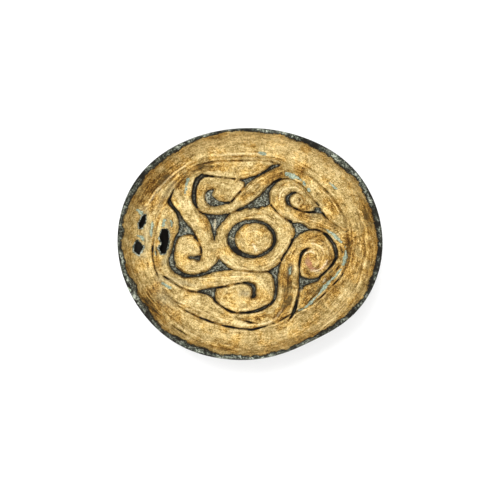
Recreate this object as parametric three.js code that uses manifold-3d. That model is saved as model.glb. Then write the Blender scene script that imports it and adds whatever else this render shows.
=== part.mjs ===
// Cast saucer brooch: an oval dish with a flaring rim, five running spirals round a boss, and pin fittings behind.
// Millimetres, +Z up, +Y towards the top of the face. It lies on its pin fittings, whose feet are at z = 0.
// The face is laid out on a round plan, x to the right and y up, and the plan is then squashed to an oval.
import * as THREE from 'three';
import { mergeVertices } from 'three/addons/utils/BufferGeometryUtils.js';
import Module from 'manifold-3d';

const wasm = await Module();
wasm.setup();

const RADIUS = 21.95;
const OVAL = 0.875;
const FITTING_DROP = 6;
const PLATE = 1.3;
const RIM_RISE = 4;
const FLOOR = FITTING_DROP + PLATE;
const DEGREE = Math.PI / 180;
const SEGMENTS = 96;

// The casting isn't true: each swell lets the lip or the field's edge out, or in, round one plan angle.
const RIM_SWELLS = [
  { at: 42, by: 0.35, width: 22 },
  { at: 141, by: 0.62, width: 30 },
  { at: 240, by: 0.6, width: 24 },
  { at: 299, by: -0.85, width: 19 },
];
const FIELD_RADIUS = 16.35;
const FIELD_SWELLS = [
  { at: 128, by: 1.0, width: 26 },
  { at: 215, by: 0.6, width: 18 },
  { at: 300, by: -0.45, width: 16 },
];

// Steps of the section from the middle of the back, out round the lip and in to the field.
// The share is of the way from the field's edge to the lip, and the rise is over the field's floor.
const RIM_SECTION = [
  { share: -0.12, rise: -PLATE },
  { share: 0.1, rise: -PLATE },
  { share: 0.4, rise: -0.75 },
  { share: 0.75, rise: 0.95 },
  { share: 0.97, rise: 3.1 },
  { share: 1, rise: 3.5 },
  { share: 0.985, rise: 3.85 },
  { share: 0.92, rise: RIM_RISE },
  { share: 0.85, rise: 3.75 },
  { share: 0.8, rise: 3.2 },
  { share: 0.57, rise: 1.5 },
  { share: 0.24, rise: 0.25 },
  { share: 0.17, rise: 0.6 },
  { share: 0.1, rise: 0.62 },
  { share: 0.03, rise: 0.25 },
  { share: 0, rise: 0 },
];

// The middle: a flat ring, a groove and a domed boss, from outside in.
const RING_CENTRE = [0.8, 1.05];
const GROOVE_CENTRE = [0.3, 0.95];
const BOSS_CENTRE = [0.6, 0.95];
const MIDDLE_SECTION = [
  { centre: RING_CENTRE, radius: 6.25, rise: 0 },
  { centre: RING_CENTRE, radius: 6.05, rise: 0.5 },
  { centre: RING_CENTRE, radius: 5.6, rise: 0.85 },
  { centre: GROOVE_CENTRE, radius: 4.6, rise: 0.9 },
  { centre: GROOVE_CENTRE, radius: 4.1, rise: 0.65 },
  { centre: GROOVE_CENTRE, radius: 3.9, rise: 0.05 },
  { centre: BOSS_CENTRE, radius: 3.3, rise: 0.05 },
  { centre: BOSS_CENTRE, radius: 3.1, rise: 0.7 },
  { centre: BOSS_CENTRE, radius: 2.3, rise: 1.05 },
  { centre: BOSS_CENTRE, radius: 1.1, rise: 1.25 },
];

// Each band starts in a head, coils round its eye, and runs out to touch the border over the next scroll.
// Turns are plan degrees. The pull is the length of the two handles of the run between coil and border.
// The half widths are at the start, half way round the coil, where it leaves it, and half way along the run.
// The tail half is the most that the tail swells to between the border and the next scroll.
const SCROLLS = [
  {
    eye: [-5.65, 9.1], coil: 2.6, startTurn: 60, startRadius: 2.2, leaveTurn: 300, touchTurn: 61, pull: [4.5, 4.5],
    half: [1.0, 0.78, 0.75, 1.35], tailHalf: 1.4, head: { at: [-3.6, 10.45], radii: [2.4, 2.05], turn: 25 },
  },
  {
    eye: [7.2, 8.4], coil: 2.65, startTurn: -35, startRadius: 2.5, leaveTurn: 250, touchTurn: 4, pull: [4, 3.4],
    half: [1.2, 1.3, 1.1, 1.45], tailHalf: 2.1, head: { at: [8.1, 8.2], radii: [1.6, 1.6], turn: 0 },
  },
  {
    eye: [9.9, -2.4], coil: 3.1, startTurn: -115, startRadius: 3.1, leaveTurn: 175, touchTurn: -78, pull: [6, 3.5],
    half: [1.1, 1.5, 1.4, 1.65], tailHalf: 2, head: { at: [10.1, -3.8], radii: [1.6, 2.4], turn: 0 },
  },
  {
    eye: [-0.35, -8.9], coil: 2.75, startTurn: -150, startRadius: 2.6, leaveTurn: 98, touchTurn: 193, pull: [7, 6.2],
    half: [1.2, 1.45, 1.1, 1.45], tailHalf: 1.85, head: { at: [-2.9, -10.1], radii: [3.0, 2.45], turn: 0 },
  },
  {
    eye: [-9.3, -2.0], coil: 2.5, startTurn: 95, startRadius: 1.7, leaveTurn: 365, touchTurn: 128, pull: [6.5, 5.5],
    half: [1.5, 1.2, 1.35, 1.55], tailHalf: 1.75, head: { at: [-10.1, -0.3], radii: [1.9, 1.75], turn: 0 },
  },
];
const COIL_STEPS = 13;
const RUN_STEPS = 11;
const TAIL_STEPS = 18;
const BAND_RISE = 0.9;
const BAND_ROOT = -0.4;
const GROOVE = 0.45;
const BORDER_GAP = 0.2;
const TIP_HALF = 0.12;

// Where the casting is worn or broken through, as plan outlines.
const HOLES = [
  [[-17.5, 5.6], [-17.7, 4.0], [-18.5, 2.9], [-18.65, 3.6], [-18.1, 5.0]],
  [[-18.7, 0.6], [-17.9, -0.6], [-18.6, -2.0], [-19.35, -1.4], [-19.2, 0.0]],
  [[-14.7, 2.7], [-13.7, 2.6], [-13.8, 0.8], [-14.1, -1.7], [-14.7, -1.8], [-15.1, -0.7], [-14.75, 0.3], [-15.05, 1.3]],
];

// The pin fittings: a pair of pierced lugs, and across the back a catch with its hook to one side.
const FITTING_REACH = 10.6;
const FITTING_ROOT = 0.5;
const LUG = { length: 5.2, thick: 1.3, apart: 4.6, corner: 1.7, eyeHeight: 2.5, eyeRadius: 0.8 };
const CATCH = { length: 6.4, thick: 1.3, hookReach: 3.6, hookRise: 2.6, corner: 0.45 };

function swell(turn, swells) {
  return swells.reduce((sum, one) => {
    const away = THREE.MathUtils.euclideanModulo(turn - one.at + 180, 360) - 180;
    return sum + one.by * Math.exp(-((away / one.width) ** 2));
  }, 0);
}

function rimRadius(turn) {
  return RADIUS + swell(turn, RIM_SWELLS);
}

function fieldRadius(turn) {
  return FIELD_RADIUS + swell(turn, FIELD_SWELLS);
}

function polar(turn, radius, centre = [0, 0]) {
  return new THREE.Vector2(
    centre[0] + radius * Math.cos(turn * DEGREE),
    centre[1] + radius * Math.sin(turn * DEGREE),
  );
}

// A closed geometry through rings of points, all of one count, with a fan over each end.
function loft(rings) {
  const count = rings[0].length;
  const points = rings.flat();
  const index = [];
  for (let ring = 0; ring + 1 < rings.length; ring += 1) {
    for (let step = 0; step < count; step += 1) {
      const next = (step + 1) % count;
      const a = ring * count + step;
      const b = ring * count + next;
      index.push(a, b, b + count, a, b + count, a + count);
    }
  }
  for (const [ring, flip] of [[0, true], [rings.length - 1, false]]) {
    const middle = rings[ring].reduce((sum, point) => sum.add(point), new THREE.Vector3()).divideScalar(count);
    points.push(middle);
    for (let step = 0; step < count; step += 1) {
      const a = ring * count + step;
      const b = ring * count + ((step + 1) % count);
      index.push(...(flip ? [b, a] : [a, b]), points.length - 1);
    }
  }
  return new THREE.BufferGeometry().setFromPoints(points).setIndex(index);
}

function solid(geometry) {
  const bare = geometry.clone();
  bare.deleteAttribute('normal');
  bare.deleteAttribute('uv');
  const merged = mergeVertices(bare, 1e-4);
  return new wasm.Manifold(new wasm.Mesh({
    numProp: 3,
    vertProperties: new Float32Array(merged.attributes.position.array),
    triVerts: new Uint32Array(merged.index.array),
  }));
}

// The dish with its lip, border ridge, ring and boss, as rings round the middle.
function dish() {
  const rings = [];
  const turns = Array.from({ length: SEGMENTS }, (_, step) => (360 * step) / SEGMENTS);
  for (const { share, rise } of RIM_SECTION) {
    rings.push(turns.map((turn) => {
      const radius = THREE.MathUtils.lerp(fieldRadius(turn), rimRadius(turn), share);
      const place = polar(turn, radius);
      return new THREE.Vector3(place.x, place.y, FLOOR + rise);
    }));
  }
  for (const { centre, radius, rise } of MIDDLE_SECTION) {
    rings.push(turns.map((turn) => {
      const place = polar(turn, radius, centre);
      return new THREE.Vector3(place.x, place.y, FLOOR + rise);
    }));
  }
  return loft(rings);
}

function interpolate(values, share) {
  const place = share * (values.length - 1);
  const low = Math.min(Math.floor(place), values.length - 2);
  return THREE.MathUtils.lerp(values[low], values[low + 1], place - low);
}

// The stations of a scroll's coil: places on the centre line with the half width of the band there.
function coilStations(scroll) {
  return Array.from({ length: COIL_STEPS }, (_, step) => {
    const share = step / (COIL_STEPS - 1);
    const turn = THREE.MathUtils.lerp(scroll.startTurn, scroll.leaveTurn, share);
    const radius = THREE.MathUtils.lerp(
      scroll.startRadius,
      scroll.coil,
      THREE.MathUtils.smoothstep(share, 0, 0.5),
    );
    return {
      place: polar(turn, radius, scroll.eye),
      half: interpolate(scroll.half.slice(0, 3), share),
      inner: radius - 0.35,
    };
  });
}

// How far out the stations of a scroll reach on one plan turn, or 0 where it doesn't lie.
function reachOf(stations, turn) {
  return stations.reduce((far, { place, half }) => {
    const away = place.angle() - turn * DEGREE;
    const beside = place.length() * Math.sin(away);
    if (Math.abs(beside) >= half || Math.cos(away) < 0) {
      return far;
    }
    return Math.max(far, place.length() * Math.cos(away) + Math.sqrt(half ** 2 - beside ** 2));
  }, 0);
}

// The tail lies between the border and the next scroll, so its two edges come from those.
function tailStation(next, turn, mostHalf) {
  const outer = fieldRadius(turn) - BORDER_GAP;
  const inner = reachOf(next, turn) + GROOVE;
  const half = THREE.MathUtils.clamp((outer - inner) / 2, TIP_HALF, mostHalf);
  return { place: polar(turn, outer - half), half, inner: Infinity };
}

function runStations(scroll, touch) {
  const [first, last] = scroll.pull;
  const start = polar(scroll.leaveTurn, scroll.coil, scroll.eye);
  const run = new THREE.CubicBezierCurve(
    start,
    polar(scroll.leaveTurn + 90, first).add(start),
    polar(scroll.touchTurn + 90, last).add(touch.place),
    touch.place,
  );
  const halves = [scroll.half[2], scroll.half[3], touch.half];
  return Array.from({ length: RUN_STEPS }, (_, step) => {
    const share = (step + 1) / (RUN_STEPS + 1);
    return { place: run.getPoint(share), half: interpolate(halves, share), inner: Infinity };
  });
}

// The section of a band: a rounded back with a shallow groove along the middle, rooted in the plate.
function bandRing({ place, half, inner }, along) {
  const left = Math.min(half, inner);
  const rise = BAND_RISE * Math.min(1, 0.55 + half * 0.6);
  const section = [
    [left, BAND_ROOT],
    [left, rise * 0.4],
    [left * 0.72, rise * 0.95],
    [0, rise * 0.85],
    [-half * 0.72, rise * 0.95],
    [-half, rise * 0.4],
    [-half, BAND_ROOT],
  ];
  return section.map(([aside, up]) => (
    new THREE.Vector3(place.x - along.y * aside, place.y + along.x * aside, FLOOR + up)
  ));
}

function band(stations) {
  return loft(stations.map((station, step) => {
    const before = stations[Math.max(step - 1, 0)].place;
    const after = stations[Math.min(step + 1, stations.length - 1)].place;
    return bandRing(station, after.clone().sub(before).normalize());
  }));
}

// The swollen head in the middle of a coil: a low dome on an oval plan.
function head({ at, radii, turn }) {
  const steps = 20;
  const levels = [
    { share: 1, rise: BAND_ROOT },
    { share: 1, rise: 0.4 },
    { share: 0.86, rise: 0.8 },
    { share: 0.5, rise: 1.0 },
  ];
  return loft(levels.map(({ share, rise }) => (
    Array.from({ length: steps }, (_, step) => {
      const round = (360 * step) / steps;
      const place = new THREE.Vector2(
        radii[0] * share * Math.cos(round * DEGREE),
        radii[1] * share * Math.sin(round * DEGREE),
      ).rotateAround(new THREE.Vector2(), turn * DEGREE);
      return new THREE.Vector3(at[0] + place.x, at[1] + place.y, FLOOR + rise);
    })
  )));
}

// A head as stations of discs along its longer axis, for the tail that passes it.
function headStations({ at, radii, turn }) {
  const [long, short] = [Math.max(...radii), Math.min(...radii)];
  const lean = turn + (radii[0] >= radii[1] ? 0 : 90);
  return [-1, 0, 1].map((side) => ({
    place: polar(lean, side * (long - short), at),
    half: short,
  }));
}

// The five bands and their heads. The list runs clockwise, so the one after is the one that a tail lies over.
function scrollwork() {
  const after = (number) => (number + 1) % SCROLLS.length;
  const coils = SCROLLS.map((scroll) => [...coilStations(scroll), ...headStations(scroll.head)]);
  const touches = SCROLLS.map((scroll, number) => (
    tailStation(coils[after(number)], scroll.touchTurn, scroll.tailHalf)
  ));
  const runs = SCROLLS.map((scroll, number) => runStations(scroll, touches[number]));
  return SCROLLS.flatMap((scroll, number) => {
    const following = after(number);
    const passed = [...coils[following], ...runs[following]];
    const sweep = THREE.MathUtils.euclideanModulo(scroll.touchTurn - SCROLLS[following].touchTurn, 360);
    const tail = Array.from({ length: TAIL_STEPS }, (_, step) => (
      tailStation(passed, scroll.touchTurn - (sweep * step) / (TAIL_STEPS - 1), scroll.tailHalf)
    ));
    return [band([...coilStations(scroll), ...runs[number], ...tail]), head(scroll.head)];
  });
}

function hole(outline) {
  const levels = [FLOOR - 2 * PLATE, FLOOR + RIM_RISE];
  const round = THREE.ShapeUtils.area(outline.map(([x, y]) => new THREE.Vector2(x, y))) > 0
    ? outline
    : [...outline].reverse();
  return loft(levels.map((level) => round.map(([x, y]) => new THREE.Vector3(x, y, level))));
}

// A pierced lug standing down from the plate, with a flat foot between two rounded corners.
function lug(side) {
  const { length, thick, apart, corner, eyeHeight, eyeRadius } = LUG;
  const top = FITTING_DROP + FITTING_ROOT;
  const shape = new THREE.Shape();
  shape.moveTo(-length / 2, top);
  shape.lineTo(-length / 2, corner);
  shape.absarc(-length / 2 + corner, corner, corner, Math.PI, 1.5 * Math.PI, false);
  shape.absarc(length / 2 - corner, corner, corner, 1.5 * Math.PI, 2 * Math.PI, false);
  shape.lineTo(length / 2, top);
  shape.holes.push(new THREE.Path().absarc(0, eyeHeight, eyeRadius, 0, 2 * Math.PI, true));
  const geometry = new THREE.ExtrudeGeometry(shape, { depth: thick, bevelEnabled: false, curveSegments: 6 });
  geometry.rotateX(Math.PI / 2);
  geometry.translate(-FITTING_REACH, (side * apart + thick) / 2, 0);
  return geometry;
}

// The catch: a plate standing down from the back, turned up at its foot into a hook.
function pinCatch() {
  const { length, thick, hookReach, hookRise, corner } = CATCH;
  const top = FITTING_DROP + FITTING_ROOT;
  const shape = new THREE.Shape();
  shape.moveTo(0, top);
  shape.lineTo(0, corner);
  shape.absarc(corner, corner, corner, Math.PI, 1.5 * Math.PI, false);
  shape.absarc(hookReach - corner, corner, corner, 1.5 * Math.PI, 2 * Math.PI, false);
  shape.lineTo(hookReach, hookRise);
  shape.lineTo(hookReach - thick, hookRise);
  shape.lineTo(hookReach - thick, thick);
  shape.lineTo(thick, thick);
  shape.lineTo(thick, top);
  const geometry = new THREE.ExtrudeGeometry(shape, { depth: length, bevelEnabled: false, curveSegments: 3 });
  geometry.rotateX(Math.PI / 2);
  geometry.rotateZ(Math.PI / 2);
  geometry.translate(FITTING_REACH - length / 2, -hookReach / 2, 0);
  return geometry;
}

function oval(geometry) {
  return geometry.scale(1, OVAL, 1);
}

function saucerBrooch() {
  let body = solid(oval(dish()));
  for (const relief of scrollwork()) {
    body = body.add(solid(oval(relief)));
  }
  for (const fitting of [lug(-1), lug(1), pinCatch()]) {
    body = body.add(solid(fitting));
  }
  for (const outline of HOLES) {
    body = body.subtract(solid(oval(hole(outline))));
  }
  const { vertProperties, triVerts } = body.getMesh();
  const geometry = new THREE.BufferGeometry();
  geometry.setAttribute('position', new THREE.BufferAttribute(vertProperties, 3));
  geometry.setIndex(new THREE.BufferAttribute(triVerts, 1));
  geometry.computeBoundingBox();
  const { min, max } = geometry.boundingBox;
  geometry.translate(-(min.x + max.x) / 2, -(min.y + max.y) / 2, 0);
  geometry.computeVertexNormals();
  return geometry;
}

const gilding = new THREE.MeshStandardMaterial({ color: 0xc8a05a, roughness: 0.45, metalness: 0.8 });

const brooch = new THREE.Group();
const casting = new THREE.Mesh(saucerBrooch(), gilding);
casting.name = 'saucer_brooch';
brooch.add(casting);

export default brooch;
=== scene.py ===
"""A cast saucer brooch with worn gilding, lying face up on a pale floor, seen from straight above.

Lengths are millimetres until a mesh is made, and metres after that. The face is laid out on a round plan,
x to the right and y up, which is squashed to an oval as the casting is.
"""
import math

import bmesh
import bpy
import numpy as np
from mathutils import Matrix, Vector


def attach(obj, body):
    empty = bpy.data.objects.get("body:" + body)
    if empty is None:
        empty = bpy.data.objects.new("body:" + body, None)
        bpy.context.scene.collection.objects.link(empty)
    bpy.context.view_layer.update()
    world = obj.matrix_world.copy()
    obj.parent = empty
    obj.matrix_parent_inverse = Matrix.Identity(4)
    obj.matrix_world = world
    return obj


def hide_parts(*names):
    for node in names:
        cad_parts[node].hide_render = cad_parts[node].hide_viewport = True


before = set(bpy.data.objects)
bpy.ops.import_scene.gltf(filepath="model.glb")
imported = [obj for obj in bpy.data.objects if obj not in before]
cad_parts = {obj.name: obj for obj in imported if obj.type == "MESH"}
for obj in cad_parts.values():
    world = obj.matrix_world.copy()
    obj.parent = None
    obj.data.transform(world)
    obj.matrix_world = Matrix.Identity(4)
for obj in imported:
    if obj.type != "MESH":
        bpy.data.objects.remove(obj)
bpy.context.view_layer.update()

NODE = "saucer_brooch"
MM = 0.001
FAR = 1e3
OVAL = 0.875
FITTING_DROP = 6.0
PLATE = 1.3
FLOOR = FITTING_DROP + PLATE
RADIUS = 21.95
# Swells of a radius as (plan turn, how much, half width in degrees).
RIM_SWELLS = [(42, 0.35, 22), (141, 0.62, 30), (240, 0.6, 24), (299, -0.85, 19)]
FIELD_RADIUS = 16.35
FIELD_SWELLS = [(128, 1.0, 26), (215, 0.6, 18), (300, -0.45, 16)]

# Sections as (share of the way from the field's edge to the lip, rise over the field's floor).
INSIDE_SECTION = [
    (0, 0.62), (0.05, 0.56), (0.1, 0.5), (0.15, 0.46), (0.2, 0.45), (0.26, 0.5), (0.4, 0.85), (0.57, 1.55),
    (0.7, 2.36), (0.8, 3.2), (0.85, 3.72), (0.89, 3.92), (0.94, 4.0), (0.98, 3.88), (1.0, 3.5),
]
OUTSIDE_SECTION = [(1.0, 3.5), (0.97, 3.1), (0.75, 0.95), (0.4, -0.75), (0.1, -PLATE), (-0.12, -PLATE)]

# The ornament. Ovals are a middle and two half widths. A line is cut in full from half width FULL_CUT on.
BAND_RISE = 0.9
BAND_EDGE = 0.3
CROWN_SHARE = 0.28
CROWN_REACH = 1.4
BOSS = ((0.6, 0.9), (3.2, 2.95))
BOSS_RISE = 0.42
BOSS_GROOVE = ((0.25, 0.95), (4.12, 3.75))
TIP = (0.6, 0.1)
TIP_RISE = 0.2
TIP_WIDTH = 0.4
RING_MIDDLE = (0.8, 1.05)
RING_REACH = 6.6
RIDGE_RISE = 0.17
RIDGE_WIDTH = 0.16
FULL_CUT = 0.2
CUT_SHARE = 0.9
WALL_CUT = 0.25

# The metal pushed up along both sides of a cut line.
BURR_AWAY = 0.3
BURR_WIDTH = 0.13
BURR_RISE = 0.09
FULL_BURR = 0.08

# Where the ground shows between the bands: closed outlines on the round plan.
HOLLOWS = [
    [(-2, 12.2), (-0.7, 12.5), (1.1, 13.15), (2.9, 14.4), (3.8, 15.15), (4.9, 15.35), (5.1, 14.95),
     (4.3, 14.6), (3, 13.8), (1.5, 12.95), (0.2, 12), (-0.7, 11.2), (-1, 10.75), (-1, 11.6), (-1.3, 11.95)],
    [(-6.4, 10.45), (-7.3, 10.1), (-7.65, 9.2), (-7.45, 8.2), (-6.9, 7.4), (-6.1, 7.05), (-5.1, 7.2),
     (-4, 7.65), (-3.1, 7.95), (-4.2, 8), (-5.1, 8.25), (-5.9, 8.75), (-6.35, 9.3), (-6.2, 9.9), (-6, 10.4)],
    [(-3.1, 5.9), (-1.6, 6.95), (-0.9, 7.3), (0.45, 8.25), (1.55, 9.2), (2.4, 10.3), (3.2, 11.2), (4, 11.8),
     (4.9, 12.25), (4.2, 11.4), (3.5, 10.6), (3.15, 9.6), (3.15, 8.6), (3.4, 7.6), (3, 7.35), (2.5, 7),
     (2, 7.1), (1.3, 6.65), (0.6, 7), (-0.1, 6.55), (-0.7, 6.9), (-1.5, 6.4), (-2.4, 6.2)],
    [(6.6, 4.3), (7.3, 4), (8, 4.05), (8.8, 3.75), (9.5, 3.1), (10.2, 2.75), (11.2, 2.75), (10, 2.5),
     (9, 2.35), (8.3, 1.9), (7.8, 1.3), (7.3, 0.7), (7, 0.5), (7.15, 1.2), (7.45, 2), (7.4, 2.9), (7, 3.6)],
    [(8.15, -5.8), (8.8, -6.3), (9.8, -6.7), (11, -6.55), (12, -6), (11.6, -7), (10.6, -7.4), (9.6, -7.8),
     (9, -8.1), (8.6, -8.8), (8.2, -8.6), (8.05, -7.2)],
    [(5.3, -2.9), (5, -3.6), (4.2, -4.2), (3.3, -4.9), (2.9, -5.3), (3.4, -5.8), (3.8, -6.5), (4.05, -7.5),
     (4.1, -8.6), (4, -9.8), (3.6, -10.9), (2.6, -11.75), (2.9, -12.1), (3.6, -11.7), (4.2, -10.8),
     (4.5, -9.6), (4.6, -8), (4.7, -6), (4.9, -4.3)],
    [(-9.3, -9.2), (-7.4, -8.5), (-5.8, -8.25), (-5.7, -8.8), (-5.9, -9.6), (-5.9, -10.9), (-6.3, -10.4),
     (-7.2, -9.75), (-8.3, -9.4)],
    [(-1.3, -7.35), (-0.4, -7.25), (0.4, -7.5), (0.95, -8.2), (1.05, -9.2), (0.9, -10.1), (0.3, -10.5),
     (0.05, -10.2), (0.3, -9.6), (0.35, -8.9), (0.1, -8.3), (-0.4, -7.85), (-1.1, -7.65)],
    [(-12.1, 4.6), (-11.3, 4.9), (-10.6, 4), (-9.8, 2.9), (-9.3, 2), (-9, 1.2), (-9.6, 1.6), (-10.3, 1.75),
     (-11, 1.6), (-12, 1.05), (-12.45, 0.2), (-12.65, -1), (-12.75, -2.2), (-12.65, -3.4), (-12.2, -4.6),
     (-11.4, -5.4), (-10.2, -5.85), (-9, -5.85), (-7.8, -5.45), (-6.8, -4.85), (-6, -4), (-5.4, -3),
     (-5.25, -2.5), (-5, -3.1), (-4.4, -3.8), (-3.6, -4.5), (-2.7, -4.95), (-3.6, -5.05), (-4.6, -5.2),
     (-5.6, -5.35), (-6.6, -5.7), (-7.6, -6), (-9, -6.3), (-10.2, -6.45), (-11.2, -6.4), (-12.4, -5.8),
     (-13.2, -5.1), (-13.7, -4.2), (-13.7, -3), (-13.3, -1.6), (-13, -0.6), (-12.85, 0.6), (-12.5, 1.5),
     (-12.1, 2.3), (-11.9, 3.1), (-12, 3.9)],
    [(-8.2, 5.95), (-7.3, 5.75), (-6.2, 5.6), (-5, 5.6), (-4, 5.75), (-3.2, 5.95), (-3.9, 5.1), (-4.6, 4.2),
     (-5.1, 3.4), (-5.5, 2.7), (-5.75, 1.8), (-5.9, 0.8), (-6.1, 0.6), (-6.2, 1.6), (-6.45, 2.8), (-6.8, 3.9),
     (-7.2, 4.9), (-7.6, 5.5)],
    [(-10.45, -2.6), (-10, -2.15), (-9.4, -2.35), (-8.7, -2.2), (-8.25, -2.1), (-8.2, -2.9), (-8.6, -3.45),
     (-9.1, -3.15), (-9.6, -2.95), (-10.1, -3)],
    [(10.6, 6.9), (11.3, 7.2), (11.9, 6.4), (12.1, 5.8), (11.5, 5.8), (10.6, 6)],
    [(7.9, 9.8), (7.2, 10), (6.5, 9.75), (6, 9.1), (5.85, 8.4), (6, 7.7), (6.6, 7.1), (7, 7.1), (6.65, 7.8),
     (6.5, 8.5), (6.7, 9.15), (7.2, 9.5)],
]

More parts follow.
